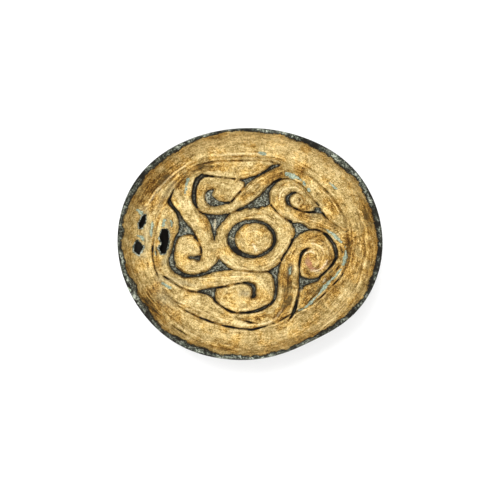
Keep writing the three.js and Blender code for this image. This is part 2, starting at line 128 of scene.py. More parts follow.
# Lines cut between and along the bands, as points with the line's half width there.
CUTS = [
    [(-2.6, 12.4, 0.1), (-4.4, 12.65, 0.1), (-5.8, 12.8, 0.12), (-7, 13, 0.15), (-8, 12.95, 0.38),
     (-8.8, 12.3, 0.36), (-9.2, 11.2, 0.33), (-9.4, 10, 0.33), (-9.45, 9, 0.33), (-9.35, 8, 0.25),
     (-9, 7.1, 0.16), (-8.5, 6.2, 0.13), (-7.9, 5.7, 0.12)],
    [(-1, 10.8, 0.12), (-1.33, 10.4, 0.11), (-1.9, 9.67, 0.1), (-2.4, 9, 0.1), (-3.1, 8.1, 0.14)],
    [(3.45, 7.4, 0.15), (4.3, 6.2, 0.14), (5.3, 5.2, 0.14), (6.3, 4.6, 0.16), (6.8, 4.2, 0.2)],
    [(11, 2.65, 0.14), (11.6, 2.45, 0.16), (12.8, 1.65, 0.2), (13.4, 0.8, 0.24), (14, -0.2, 0.26),
     (14.3, -1.4, 0.26), (14.35, -2.6, 0.2), (13.8, -3.8, 0.14), (13, -4.8, 0.13), (12.2, -5.7, 0.16),
     (11.6, -6.3, 0.2)],
    [(7.1, 0.8, 0.2), (6.8, 0, 0.16), (6.2, -1.2, 0.14), (5.6, -2.2, 0.15), (5.2, -3.1, 0.15)],
    [(8.2, -8.5, 0.14), (8.05, -9.6, 0.13), (7.85, -10.6, 0.16), (7.6, -11.8, 0.2), (7.3, -12.9, 0.24),
     (6.9, -13.8, 0.15), (6.4, -14.6, 0.1)],
    [(8.3, -6.2, 0.12), (8.2, -5, 0.13), (8.2, -4, 0.13), (8.3, -3, 0.15), (8.5, -2.1, 0.2),
     (8.9, -1.35, 0.24), (9.5, -0.95, 0.18), (10.3, -0.9, 0.12), (11, -1.2, 0.09), (11.6, -1.9, 0.06)],
    [(2.7, -11.95, 0.3), (1.8, -12.5, 0.28), (0.9, -12.85, 0.22), (-0.5, -13.1, 0.18), (-2, -13.2, 0.18),
     (-3.2, -12.95, 0.16), (-4.3, -12.3, 0.13), (-5.2, -11.6, 0.13), (-5.9, -10.95, 0.16),
     (-6.1, -10.3, 0.2)],
    [(-14.4, -6.2, 0.14), (-13, -7.3, 0.12), (-11.8, -8.2, 0.1), (-10.5, -8.85, 0.1), (-9.2, -9.2, 0.12)],
    [(-5.8, -8.45, 0.16), (-4.1, -8.1, 0.14), (-3, -7.8, 0.12), (-1.9, -7.55, 0.12), (-1, -7.45, 0.14)],
    [(-2.8, -4.95, 0.1), (-1.4, -5.15, 0.08), (0.3, -5.3, 0.08), (2.1, -5.35, 0.08), (3, -5.3, 0.12)],
    [(-8.2, -2.2, 0.12), (-8.15, -1.2, 0.11), (-8.5, -0.1, 0.13), (-8.9, 0.7, 0.15), (-9.2, 1.3, 0.18)],
    [(-13.5, 8.6, 0.12), (-13.5, 8, 0.33), (-13.15, 7.3, 0.26), (-12.6, 6.6, 0.26), (-12.1, 5.9, 0.28),
     (-11.85, 5.2, 0.28), (-11.6, 4.6, 0.35)],
    [(-13.4, 8.7, 0.12), (-12.9, 10.1, 0.11), (-12.5, 11.2, 0.06)],
    [(-10.6, 13.9, 0.05), (-9.6, 14.7, 0.08), (-8.7, 15.15, 0.12), (-7.3, 15.45, 0.12), (-5.5, 15.8, 0.1),
     (-2.9, 15.9, 0.09), (-0.6, 15.95, 0.09), (1.6, 16, 0.08), (3.3, 15.8, 0.1), (4.5, 15.3, 0.16)],
    [(-14.2, 7.4, 0.06), (-14.9, 6.2, 0.09), (-15.2, 5.2, 0.1), (-15.6, 3.8, 0.1), (-16, 2.4, 0.09),
     (-16.2, 1, 0.1), (-16.35, -0.6, 0.14), (-16.4, -1.9, 0.14), (-16.2, -3.4, 0.13), (-15.9, -5, 0.12),
     (-15.3, -6.4, 0.08)],
    [(-15.5, 1.6, 0.06), (-15.7, -1, 0.1), (-15.6, -3.5, 0.09), (-15.1, -5.2, 0.06)],
    [(-13.2, 5.4, 0.05), (-12.9, 4, 0.1), (-13, 2.4, 0.06)],
    [(-12.4, -11.6, 0.06), (-10.6, -12.9, 0.13), (-8.6, -14, 0.13), (-6.3, -15, 0.13), (-4.1, -15.7, 0.15),
     (-1.9, -16.15, 0.16), (0.3, -16.4, 0.18), (2.5, -15.75, 0.14), (4.8, -14.8, 0.12), (7, -13.3, 0.12),
     (9, -12.2, 0.08)],
    [(-2.4, -14.1, 0.06), (-1.2, -14.6, 0.12), (0, -15, 0.14), (1.2, -15.2, 0.08)],
    [(3.6, 11.3, 0.18), (4.1, 11.85, 0.2), (5, 12.35, 0.14), (6.2, 12.5, 0.11), (7.2, 12.2, 0.09),
     (8, 11.65, 0.09), (8.8, 10.85, 0.08), (9.4, 10, 0.08), (10, 9.2, 0.08), (10.8, 8.2, 0.09),
     (11.4, 7.3, 0.12)],
    [(6.9, 7.15, 0.1), (7.4, 6.8, 0.11), (8.2, 6.4, 0.12), (9, 6.15, 0.13), (9.8, 6.05, 0.15),
     (10.7, 6.1, 0.2)],
    [(12.1, 5.8, 0.14), (12.5, 5.2, 0.11), (13.3, 4.4, 0.08), (14.2, 3.7, 0.08), (15.2, 3, 0.1),
     (16.1, 2.4, 0.12)],
    [(7.9, 9.7, 0.1), (8.6, 9.2, 0.08), (9, 8.4, 0.07), (8.9, 7.7, 0.06), (8.4, 7.2, 0.05)],
    [(7.6, 8.9, 0.05), (8.2, 8.7, 0.06), (8.4, 8.1, 0.05), (8, 7.7, 0.04)],
    [(11.2, 11.7, 0.05), (12, 10.95, 0.08), (12.7, 10.1, 0.14), (13.2, 9.6, 0.07), (13.9, 8.6, 0.05),
     (14.8, 7.1, 0.07), (15.6, 5.6, 0.05), (16.3, 4.2, 0.06)],
    [(9.4, -2.6, 0.04), (10.4, -2.5, 0.07), (10.9, -3.2, 0.08), (10.7, -4.2, 0.06), (9.9, -4.7, 0.05)],
    [(9.6, 0.9, 0.05), (11, 1.1, 0.08), (12.4, 0.3, 0.08), (13.3, -1.2, 0.08), (13.4, -3, 0.08),
     (12.7, -4.4, 0.06)],
    [(7.4, -3, 0.05), (7.6, -1.4, 0.08), (8.4, -0.2, 0.08), (9.6, 0.4, 0.06), (10.8, 0.4, 0.05)],
    [(11.9, -0.9, 0.05), (12.2, -2.2, 0.08), (11.8, -3.8, 0.08), (10.8, -5, 0.07), (9.4, -5.2, 0.05)],
    [(15, -0.4, 0.08), (15.5, -2, 0.1), (15.1, -3.8, 0.1), (13.9, -5.7, 0.1), (12.1, -8.1, 0.1),
     (9.7, -11.1, 0.08)],
    [(16.3, -0.8, 0.08), (16.3, -3.4, 0.12), (15.4, -5.9, 0.12), (13.6, -8.2, 0.1), (11.6, -10.4, 0.1),
     (9.6, -12.2, 0.08)],
    [(-12.4, 9.9, 0.05), (-11.9, 11.5, 0.08), (-10.6, 13.1, 0.08), (-9.4, 13.7, 0.08), (-8, 14.6, 0.07),
     (-6, 14.9, 0.05)],
    [(-11.6, 9.4, 0.04), (-11.2, 11.4, 0.06), (-10, 12.9, 0.06), (-7.4, 13.9, 0.07), (-4.6, 13.9, 0.05)],
    [(-16.9, 7.6, 0.06), (-15.4, 9.9, 0.09), (-13.2, 12.4, 0.09), (-11, 14.3, 0.06)],
    [(4.4, 10, 0.05), (5, 11, 0.06), (6.4, 11.6, 0.06), (7.9, 11, 0.06), (8.8, 10, 0.05)],
    [(1, 10.2, 0.04), (2.8, 12.3, 0.06), (4.8, 13.3, 0.06), (6.4, 13.3, 0.05)],
    [(-8.9, 8, 0.04), (-7.6, 6.8, 0.05), (-5.2, 6.4, 0.05), (-3, 7.2, 0.04)],
    [(-18.6, -9.2, 0.06), (-16.4, -12.2, 0.1), (-13, -15.6, 0.1), (-9.4, -18.2, 0.08), (-5.4, -19.8, 0.06)],
    [(12.4, -16.6, 0.05), (16, -12.8, 0.07), (18.8, -7.8, 0.07), (20, -2.4, 0.07), (19.9, 2.6, 0.05)],
    [(-14.8, -9.2, 0.05), (-12.6, -11, 0.08), (-9.8, -12.4, 0.07), (-7.6, -13.4, 0.05)],
    [(-18.4, 2.4, 0.05), (-17.6, 0.6, 0.07), (-17.2, -2, 0.06), (-17, -4.4, 0.05)],
    [(6.5, -6, 0.05), (6.2, -9, 0.07), (5.8, -11, 0.07), (5, -13, 0.06), (4, -14.4, 0.06)],
    [(-18, 5.2, 0.05), (-16.8, 8, 0.07), (-15, 10.6, 0.08), (-12.6, 13.2, 0.07), (-10.2, 15, 0.08),
     (-7.8, 16.2, 0.08), (-4, 16.7, 0.06), (0, 16.75, 0.07), (3.4, 16.5, 0.06), (6.8, 15.4, 0.05)],
    [(7.4, 16.1, 0.05), (10, 14.3, 0.07), (12.2, 12.3, 0.06), (14.2, 10.2, 0.05)],
    [(0, 0, 0.03), (0.4, 0.35, 0.1), (0.8, 0.15, 0.03)],
    [(-1.6, 4.4, 0.04), (0.4, 5.7, 0.06), (2.6, 5.8, 0.05), (4.4, 4.4, 0.04)],
    [(-17, -3.5, 0.05), (-16.6, -6, 0.07), (-15.6, -8.2, 0.06), (-14, -10.4, 0.07), (-12.4, -12, 0.05)],
]

# Raised lines along the bands, as the cut lines are given.
RIDGES = [
    [(4.9, 8.4, 0.12), (5, 9.5, 0.16), (5.5, 10.3, 0.16), (6.4, 10.75, 0.16), (7.6, 10.75, 0.14),
     (8.6, 10, 0.12), (9.1, 9.2, 0.08)],
    [(9.4, 0, 0.1), (10.9, 0.05, 0.14), (12, -0.8, 0.14), (12.6, -2.2, 0.14), (12.5, -3.8, 0.14),
     (11.6, -4.9, 0.14), (10.2, -5.3, 0.1)],
    [(5.9, -10.4, 0.08), (5.4, -12.4, 0.1), (4.3, -14.3, 0.12), (2.5, -15.2, 0.12), (-0.5, -15.5, 0.12),
     (-4, -14.6, 0.1), (-7, -13.4, 0.1), (-9.6, -12.2, 0.08)],
    [(0.6, -7, 0.08), (1.8, -7.8, 0.12), (2.5, -9.2, 0.12), (2.2, -10.6, 0.1), (1.2, -11.5, 0.08)],
    [(-8.3, -6.7, 0.08), (-5, -6.4, 0.1), (-1.5, -6.2, 0.1), (0.6, -6.4, 0.08)],
    [(-10.4, 11.8, 0.08), (-10.6, 9.6, 0.1), (-10.1, 7.4, 0.1), (-8.9, 4.9, 0.1), (-7.5, 1.6, 0.1)],
    [(-17.4, 7.3, 0.1), (-15.8, 10, 0.12), (-13.2, 13, 0.12), (-10.4, 15.5, 0.12), (-7.5, 16.9, 0.12),
     (-3.5, 17.3, 0.1), (0, 17.3, 0.1), (3.4, 17, 0.1), (7, 15.9, 0.1), (10.4, 13.8, 0.1), (13, 11.4, 0.1)],
    [(-0.6, 10, 0.08), (1.4, 12.2, 0.1), (3.6, 13.6, 0.1), (5.4, 14, 0.08)],
    [(6.6, 5.6, 0.08), (9, 4.9, 0.1), (11.6, 4, 0.1), (13.6, 3, 0.08)],
    [(11.6, -16.2, 0.1), (15.4, -12.4, 0.12), (18.2, -7.4, 0.12), (19.4, -2, 0.12), (19.2, 3, 0.1),
     (18, 6.6, 0.1)],
    [(-17.4, -9.6, 0.1), (-15, -12.6, 0.12), (-11.6, -16, 0.12), (-7.6, -18.4, 0.1), (-3, -19.6, 0.1)],
    [(9.8, -0.2, 0.1), (11.2, -1.6, 0.12), (11.4, -3.4, 0.12), (10.4, -4.6, 0.1)],
    [(7.6, -4.8, 0.08), (7.3, -2.2, 0.1), (8.2, -0.4, 0.1), (9.8, 0.4, 0.1)],
    [(-3.1, 2.6, 0.06), (-2.2, 4, 0.1), (-0.6, 5, 0.1), (2.2, 5.15, 0.1), (3.9, 4, 0.08)],
    [(1.6, -5, 0.06), (3.4, -3.9, 0.1), (5, -1.8, 0.1), (6.2, 0, 0.1), (6.7, 1.4, 0.06)],
    [(-5.3, -2, 0.06), (-4.2, -3.4, 0.1), (-2.8, -4.3, 0.1), (-0.8, -4.8, 0.06)],
    [(-0.9, 0.9, 0.04), (-0.6, 2, 0.06), (0.6, 2.6, 0.06), (1.8, 2.1, 0.06), (2.2, 1, 0.04)],
]

# The corroded pits, each as the height of its bottom over the field's floor and its outline.
PITS = [
    (-0.3, [(-17.5, 5.6), (-17.7, 4), (-18.5, 2.9), (-18.65, 3.6), (-18.1, 5)]),
    (0.25, [(-18.7, 0.6), (-17.9, -0.6), (-18.6, -2), (-19.35, -1.4), (-19.2, 0)]),
    (-1.05, [(-14.75, 2.75), (-13.7, 2.7), (-13.7, 0.8), (-14.1, -1.8), (-14.75, -1.9), (-15.2, -0.9),
             (-14.75, 0.2), (-15.15, 1.3)]),
]


def turned(turn, at):
    """How far one direction is from another, from -180 to 180."""
    return (turn - at + 180) % 360 - 180


def bell(away, width):
    """From 1 in the middle, falling away over a half width."""
    return np.exp(-((away / width) ** 2))


def swell(turn, swells):
    return sum(by * bell(turned(turn, at), width) for at, by, width in swells)


def rim_radius(turn):
    return RADIUS + swell(turn, RIM_SWELLS)


def field_radius(turn):
    return FIELD_RADIUS + swell(turn, FIELD_SWELLS)


def polar(turn, radius, centre=(0, 0)):
    angle = np.radians(turn)
    return np.stack([centre[0] + radius * np.cos(angle), centre[1] + radius * np.sin(angle)], -1)


def smooth(low, high, value):
    """From 0 at the low value to 1 at the high one, with soft ends."""
    share = np.clip((value - low) / (high - low), 0, 1)
    return share * share * (3 - 2 * share)


def noise(x, y, size, seed):
    """Smooth random values from -1 to 1, changing over the given size in millimetres."""
    lattice = np.random.RandomState(seed).uniform(-1, 1, (256, 256))
    column, row = np.floor(x / size).astype(int), np.floor(y / size).astype(int)
    across, up = smooth(0, 1, x / size - column), smooth(0, 1, y / size - row)
    corner = [lattice[(row + i) % 256, (column + j) % 256] for i in (0, 1) for j in (0, 1)]
    low = corner[0] * (1 - across) + corner[1] * across
    high = corner[2] * (1 - across) + corner[3] * across
    return low * (1 - up) + high * up


def rough(x, y, size, seed):
    """Noise with two finer rounds laid over it."""
    return sum(noise(x, y, size / 2 ** k, seed + k) / 2 ** k for k in range(3))


def oval_depth(x, y, at, radii):
    """About how far inside an oval each point is, in millimetres."""
    return (1 - np.hypot((x - at[0]) / radii[0], (y - at[1]) / radii[1])) * min(radii)


def rounded(depth):
    """From 0 at a band's foot to 1 on its back, over its edge."""
    return smooth(-0.1, BAND_EDGE, depth) ** 0.6


def softened(outline):
    """The closed outline with its corners cut."""
    points = np.array(outline)
    after = np.roll(points, -1, axis=0)
    return np.stack([points * 0.75 + after * 0.25, points * 0.25 + after * 0.75], 1).reshape(-1, 2)


def away_from_line(x, y, points):
    """How far outside a closed line of points each place is, in millimetres, and negative inside it."""
    distance = np.full(x.shape, FAR)
    inside = np.zeros(x.shape, bool)
    for (ax, ay), (bx, by) in zip(points, np.roll(points, -1, axis=0)):
        run_x, run_y = bx - ax, by - ay
        share = np.clip(((x - ax) * run_x + (y - ay) * run_y) / (run_x ** 2 + run_y ** 2), 0, 1)
        distance = np.minimum(distance, np.hypot(x - ax - share * run_x, y - ay - share * run_y))
        if run_y:
            inside ^= ((ay > y) != (by > y)) & (x < ax + (y - ay) * run_x / run_y)
    return np.where(inside, -distance, distance)


def along_line(x, y, line):
    """How far each point is outside a line's edge, the half width there, and its place along and across."""
    away = np.full(x.shape, FAR)
    half, along, across = np.zeros((3, *x.shape))
    walked = 0
    for (ax, ay, first), (bx, by, last) in zip(line, line[1:]):
        run_x, run_y, length = bx - ax, by - ay, math.hypot(bx - ax, by - ay)
        share = np.clip(((x - ax) * run_x + (y - ay) * run_y) / length ** 2, 0, 1)
        wide = first + (last - first) * share
        off_x, off_y = x - ax - share * run_x, y - ay - share * run_y
        distance = np.hypot(off_x, off_y)
        closer = distance - wide < away
        away = np.where(closer, distance - wide, away)
        half = np.where(closer, wide, half)
        along = np.where(closer, walked + share * length, along)
        across = np.where(closer, distance * np.sign(run_x * off_y - run_y * off_x), across)
        walked += length
    return away, half, along, across


def relief(x, y):
    """The ornament's height over the ground, and how far each point is inside the bands, cut and ridged."""
    waver = 0.07 * rough(x, y, 0.9, 29)
    depth = np.full(x.shape, FAR)
    for outline in HOLLOWS:
        depth = np.minimum(depth, away_from_line(x, y, softened(outline)))
    boss = oval_depth(x, y, *BOSS) + waver
    groove = oval_depth(x, y, *BOSS_GROOVE) + waver
    depth = np.minimum(depth, np.maximum(boss, -groove)) + waver
    crown = 1 - CROWN_SHARE + CROWN_SHARE * smooth(0.1, CROWN_REACH, depth)
    height = BAND_RISE * rounded(depth) * crown + BOSS_RISE * smooth(0, 3.0, boss)
    height = height + TIP_RISE * bell(np.hypot(x - TIP[0], y - TIP[1]), TIP_WIDTH)
    ridge = np.zeros(x.shape)
    for line in RIDGES:
        away, half, _, _ = along_line(x, y, line)
        ridge = np.maximum(ridge, RIDGE_RISE * bell(np.maximum(away + half, 0), RIDGE_WIDTH))
    cut = np.zeros(x.shape)
    cut_uneven = 0.85 + 0.4 * rough(x, y, 1.1, 43)
    burr_uneven = 0.8 + 0.5 * rough(x, y, 1.6, 47)
    for line in CUTS:
        away, half, _, _ = along_line(x, y, line)
        strength = np.minimum(1, half / FULL_CUT) * cut_uneven
        cut = np.maximum(cut, strength * (1 - smooth(-0.06, 0.16, away + 0.6 * waver)))
        burr = bell(away - BURR_AWAY, BURR_WIDTH) * burr_uneven * np.minimum(1, half / FULL_BURR)
        ridge = np.maximum(ridge, BURR_RISE * burr)
        depth = np.where(half > FULL_CUT, np.minimum(depth, away + waver), depth)
    ridge = ridge * (1 - np.clip(cut, 0, 1)) * smooth(0, 0.15, depth)
    return height * (1 - CUT_SHARE * cut) + ridge, depth, cut, ridge


def band_grain(x, y):
    """Places along and across the nearest line of the ornament, for streaks that follow it."""
    off_x, off_y = x - RING_MIDDLE[0], y - RING_MIDDLE[1]
    turn, out = np.arctan2(off_y, off_x), np.hypot(off_x, off_y)
    grain = np.stack([turn * 3, out, np.zeros(x.shape)], -1)
    nearest = np.where(out < RING_REACH, -1, FAR)
    edges = [[(px, py, 0) for px, py in outline + outline[:1]] for outline in HOLLOWS]
    for number, line in enumerate(CUTS + RIDGES + edges):
        away, half, along, across = along_line(x, y, line)
        closer = away + half < nearest
        nearest = np.where(closer, away + half, nearest)
        own = np.stack([along, across, np.full(x.shape, 7 + 3 * number)], -1)
        grain = np.where(closer[:, None], own, grain)
    return grain


# Soft patches of the surface as (plan turn, radius, half its turn, half its width, strength).
# Brown patches: partly brown staining, partly painted shade on the walls and in the crease by the lip.
BROWN_PATCHES = [
    (345, 10.8, 14, 2.2, 0.55), (142, 19.2, 15, 2, 1), (4, 19.8, 18, 1.3, 0.7), (-16, 19.8, 12, 1.4, 0.4),
    (214, 20.4, 16, 0.9, 0.9), (-32, 16.9, 26, 1.2, 0.5), (-2, 15.9, 16, 1, 0.5), (-60, 18.4, 16, 1, 0.3),
    (220, 19.4, 10, 1.1, 0.4), (262, 20.2, 16, 0.7, 0.4), (300, 20.2, 14, 0.7, 0.4),
    (118, 16.9, 12, 0.8, 0.4), (60, 17, 20, 0.7, 0.3), (214, 17.4, 9, 1.2, 0.7), (228, 18.8, 8, 0.7, 0.3),
    (358, 17, 12, 1.4, 0.6), (342, 14.6, 10, 1.2, 0.5), (17, 20, 8, 0.9, 0.6), (266, 10.2, 7, 0.9, 0.7),
    (207, 18.6, 7, 1, 0.5),
]
BLACK_PATCHES = [
    (143, 7.8, 6, 0.9, 1), (160, 7, 5, 0.8, 1), (212, 2.9, 26, 1.2, 1), (4, 4.3, 16, 1.2, 0.9),
    (278, 3, 14, 0.8, 0.8), (313, 9.4, 3, 1.6, 0.9), (150, 14.2, 3, 0.8, 0.9),
]
# Pale patches: partly paler gilding, partly painted highlights on the walls.
PALE_PATCHES = [
    (98, 14.6, 14, 1.2, 1), (226, 14.4, 22, 1.6, 0.9), (240, 17.8, 24, 0.9, 1), (200, 17.4, 14, 1.2, 0.5),
    (85, 19.4, 30, 1.5, 0.9), (285, 18.4, 30, 1.4, 0.8), (215, 7.8, 18, 1.4, 0.8), (330, 18.2, 14, 1.3, 0.6),
    (40, 18.8, 16, 1.4, 0.6), (170, 17.8, 12, 1.1, 0.7), (200, 18.4, 10, 1.3, 0.5), (12, 18.4, 10, 1, 0.3),
]
GREY_PATCHES = [
    (-95, 9.6, 7, 0.7, 1), (30, 12, 4, 0.9, 0.5), (-120, 9.8, 8, 0.7, 0.3), (216, 17.8, 8, 1, 0.6),
    (205, 16.6, 5, 0.7, 0.5), (340, 10, 3, 0.5, 0.5),
]
LIP_PATCHES = [
    (128, 20.5, 14, 1.3, 0.06), (58, 20.6, 14, 1.2, 0.05), (100, 20.8, 14, 1.4, -0.07),
    (235, 20.6, 24, 1.5, 0.05), (15, 20.8, 24, 1.4, 0.03), (213, 20.9, 9, 1.2, 0.05),
    (150, 20.6, 8, 1.2, 0.06), (203, 20.6, 5, 1.2, 0.1), (45, 20.5, 5, 1.2, 0.07),
]

# Soft strokes, each as its strength and its points with their half widths.
# Brown strokes: partly brown staining, partly painted shade along the bands' shaded sides.
BROWN_STROKES = [
    (0.74, [(-1.2, 8.9, 0.5), (0.8, 10.8, 0.9), (3, 12.9, 0.9), (5.6, 14, 0.9), (8, 13.2, 0.6)]),
    (0.7, [(-1.2, 8.9, 0.3), (-0.4, 9.7, 0.4), (0.6, 10.6, 0.2)]),
    (0.8, [(8.8, -3.2, 0.2), (9, -4.7, 0.35), (9.8, -5.7, 0.35), (11, -6, 0.2)]),
    (0.6, [(9.6, -2.2, 0.2), (10.4, -2.8, 0.3), (10.3, -3.8, 0.25)]),
    (0.6, [(8.4, 11.4, 0.4), (9.6, 9.6, 0.4), (10.4, 7.6, 0.6), (9, 7, 0.5)]),
    (0.7, [(7, 6.2, 0.3), (9.6, 4.8, 0.7), (12.4, 3.6, 0.8), (14.6, 2.6, 0.6)]),
    (0.5, [(9.6, 12.6, 0.5), (12, 9.6, 0.6), (14.4, 6, 0.6)]),
    (0.6, [(5.2, -10, 0.4), (5.8, -6, 0.7), (6.9, -2.6, 0.9), (8.6, 0.4, 0.9), (11, 0.9, 0.9), (13, -1, 0.7),
           (13, -3.6, 0.7), (11.4, -5.4, 0.5)]),
    (0.9, [(8.6, -11.6, 0.4), (10, -9.4, 1.1), (12.6, -7, 0.8), (14.6, -4.2, 0.5)]),
    (0.7, [(6.9, -11.6, 0.5), (5.6, -13.6, 0.6), (2.6, -14, 0.6), (-0.6, -14, 0.4)]),
    (0.9, [(-12.4, 10.6, 0.5), (-11, 13, 0.7), (-8.6, 14.5, 0.6), (-5.8, 14.7, 0.6), (-3.8, 14.3, 0.2)]),
    (0.6, [(-15.6, 0.4, 0.3), (-15.6, -3.4, 0.35), (-14.6, -5.8, 0.3)]),
    (0.5, [(-13, 5, 0.25), (-13, 2.2, 0.3)]),
    (1, [(6.6, -4.6, 0.4), (6.3, -8, 0.8), (6.2, -11, 0.9), (4.6, -13.4, 0.6)]),
    (0.35, [(-7, 3.6, 0.4), (-6.6, 1, 0.4)]),
]
GREY_STROKES = [
    (0.6, [(-14, 4.6, 0.2), (-13.4, 1.8, 0.2), (-13.8, -1.2, 0.3), (-14.4, -3.6, 0.3)]),
    (0.5, [(-9.6, -8, 0.2), (-12.6, -6.9, 0.3), (-14.4, -6.6, 0.4)]),
    (0.6, [(-17.6, 6.6, 0.4), (-17.2, 2, 0.5), (-18, -2.4, 0.5)]),
    (0.5, [(-12.6, 11.6, 0.3), (-14, 9.6, 0.3), (-15.4, 7.4, 0.3)]),
    (0.5, [(6.8, -3.8, 0.25), (6.5, -5.8, 0.25)]),
    (0.5, [(12.4, -5.6, 0.2), (13.4, -4.2, 0.25)]),
]
RED_STROKES = [
    (1, [(9.6, -2.2, 0.35), (9.6, -3.6, 0.5), (10.1, -4.8, 0.4), (11.6, -5, 0.3), (12.8, -3.6, 0.2)]),
    (0.5, [(8.8, -4.2, 0.2), (9, -5.6, 0.25)]),
    (0.5, [(-4, -9.2, 0.2), (-1.6, -9.6, 0.3)]),
]
# Painted highlights and glints along ridges, band edges and the boss's tip, with a few pale specks among
# them.
WHITE_STROKES = [
    (0.8, [(8.9, -2.3, 0.05), (9.3, -1.7, 0.12), (10, -1.35, 0.16), (10.7, -1.8, 0.1)]),
    (0.8, [(10.2, -5, 0.12), (11.2, -5.2, 0.16), (12.2, -4.4, 0.12), (12.8, -3.2, 0.08)]),
    (0.7, [(10.3, 0.1, 0.1), (11.6, -0.4, 0.1), (12.2, -1.2, 0.08)]),
    (1, [(0.45, 0.1, 0.06), (0.7, -0.5, 0.2), (0.95, -1.2, 0.22)]),
    (0.75, [(-5.9, 4.6, 0.05), (-5.95, 3.6, 0.12), (-5.95, 2.6, 0.08)]),
    (0.6, [(-3.5, 1.3, 0.06), (-2.8, 0.9, 0.12)]),
    (0.7, [(-7.5, 9.4, 0.05), (-7.2, 7.9, 0.06)]),
    (0.7, [(-10.9, 2.8, 0.15), (-10.8, 2.6, 0.15)]),
    (0.6, [(4.8, 8.4, 0.06), (5, 9.6, 0.08), (5.6, 10.4, 0.08), (6.8, 10.7, 0.06)]),
    (0.6, [(1.4, 17.3, 0.2), (2.6, 17.1, 0.15)]),
    (0.3, [(5.4, -12.4, 0.05), (4.2, -14.3, 0.08), (2.4, -15.3, 0.08), (-1, -15.5, 0.06), (-5, -14.4, 0.04)]),
    (0.5, [(-17.2, 7.4, 0.05), (-15.4, 10.4, 0.08), (-12.8, 13.4, 0.08), (-10, 15.6, 0.05)]),
    (0.5, [(-6, 16.9, 0.05), (-2, 17.2, 0.06), (0.6, 17.2, 0.05)]),
    (0.5, [(8.6, -8.6, 0.1), (8.3, -9, 0.12)]),
    (0.5, [(12.5, -6.6, 0.1), (12.2, -7.2, 0.14)]),
]

# Where the lip is blackest, as (plan turn, half width in degrees).
BLACK_LIP = [(150, 22), (232, 20), (322, 24), (8, 22), (100, 12), (60, 6)]

# Lines of green crust, each as its half width and its points. Those of three points or more taper.
TAPER = 0.4
GREEN_LINES = [
    (0.16, [(12.3, 3), (13.5, 2.2), (14.5, 1), (15.2, 0.2)]),
    (0.2, [(13.9, 1.8), (15.1, 0.4)]),
    (0.13, [(15.9, -0.6), (15.95, -2.4)]),
    (0.3, [(15.85, -2.6), (15.5, -3.9)]),
    (0.2, [(15.2, -4.7), (14.3, -6), (13.4, -7), (12.5, -8.1), (11.3, -9.8)]),
    (0.16, [(11.3, -9.8), (10, -11.3), (9, -12.3), (8, -12.8)]),
    (0.4, [(6.2, 13.3), (7.3, 12.8)]),
    (0.22, [(7.6, 12.8), (8.7, 11.9), (9.4, 10.9), (9.9, 9.9)]),
    (0.22, [(13.2, 11.7), (13.9, 11), (14.5, 10.3)]),
    (0.2, [(-10.4, 12.2), (-10.6, 11.2)]),
    (0.1, [(-10.7, 10.8), (-10.9, 9.8)]),
    (0.16, [(-16.3, 4.6), (-16.5, 2.6), (-16.6, 0.6)]),
    (0.3, [(-18.6, 6.4), (-18.2, 6)]),
    (0.2, [(-18.9, 1.6), (-18.2, 1.3), (-17.6, 0.4)]),
    (0.3, [(-14.6, -7.6), (-13.6, -8.3), (-12.6, -8.8)]),
    (0.3, [(-20.6, -8.2), (-20, -8.8)]),
    (0.14, [(-15.9, -1.4), (-15.8, -2.8)]),
    (0.16, [(-14.6, 3.4), (-14.3, 4.6)]),
    (0.12, [(-13.2, 4.4), (-13.1, 3.2)]),
    (0.2, [(1.6, 17.3), (2.4, 17.2)]),
    (0.16, [(-3.4, 1.4), (-3.3, 0.6)]),
    (0.16, [(6.9, -3.8), (6.6, -5.6)]),
]


def patches(x, y, places):
    """The sum of some soft patches at each point, from -1 to 1."""
    turn, radius = np.degrees(np.arctan2(y, x)), np.hypot(x, y)
    total = np.zeros(x.shape)
    for at, out, half_turn, half_width, strength in places:
        total = total + strength * bell(turned(turn, at), half_turn) * bell(radius - out, half_width)
    return np.clip(total, -1, 1)


def lines(x, y, strokes):
    """From 0 to 1 along the lines of crust, broken up as it is."""
    total = np.zeros(x.shape)
    broken = 0.16 * rough(x, y, 0.5, 61) + 0.12 * rough(x, y, 1.7, 67)
    for half, points in strokes:
        end = half * (TAPER if len(points) > 2 else 1)
        wide = [end, *[half] * (len(points) - 2), end]
        away = along_line(x, y, [(px, py, own) for (px, py), own in zip(points, wide)])[0]
        total = np.maximum(total, 1 - smooth(-0.14, 0.14, away + broken))
    return total


def painted(x, y, strokes, soft=0.6):
    """From 0 to 1 along some soft strokes."""
    total = np.zeros(x.shape)
    for strength, line in strokes:
        away = along_line(x, y, line)[0] + 0.4 * soft * rough(x, y, 1.2, 53)
        total = np.maximum(total, strength * (1 - smooth(-0.6 * soft, soft, away)))
    return total


def speckled_lip(x, y, turn, lip):
    """How much grey-green crust the bare lip carries over its black."""
    black = sum(bell(turned(turn, at), half) for at, half in BLACK_LIP)
    return lip * np.clip(0.75 + 0.5 * rough(x, y, 0.9, 15) - 0.45 * black, 0, 1)


def disc_grid(count):
    """A square grid folded onto a disc: its points as share of the radius and turn, its quads and rim."""
    line = np.linspace(-1, 1, count + 1)
    u, v = np.meshgrid(line, line)
    wide = np.abs(u) > np.abs(v)
    radius = np.where(wide, u, v)
    safe = np.where(radius == 0, 1, radius)
    angle = np.where(wide, math.pi / 4 * v / safe, math.pi / 2 - math.pi / 4 * u / safe)
    angle = np.where(radius < 0, angle + math.pi, angle)
    index = np.arange((count + 1) ** 2).reshape(count + 1, count + 1)
    quads = np.stack([index[:-1, :-1], index[:-1, 1:], index[1:, 1:], index[1:, :-1]], -1).reshape(-1, 4)
    edge = np.concatenate([index[0, :-1], index[:-1, -1], index[-1, :0:-1], index[:0:-1, 0]])
    return np.abs(radius).ravel(), np.degrees(angle).ravel() % 360, quads, edge


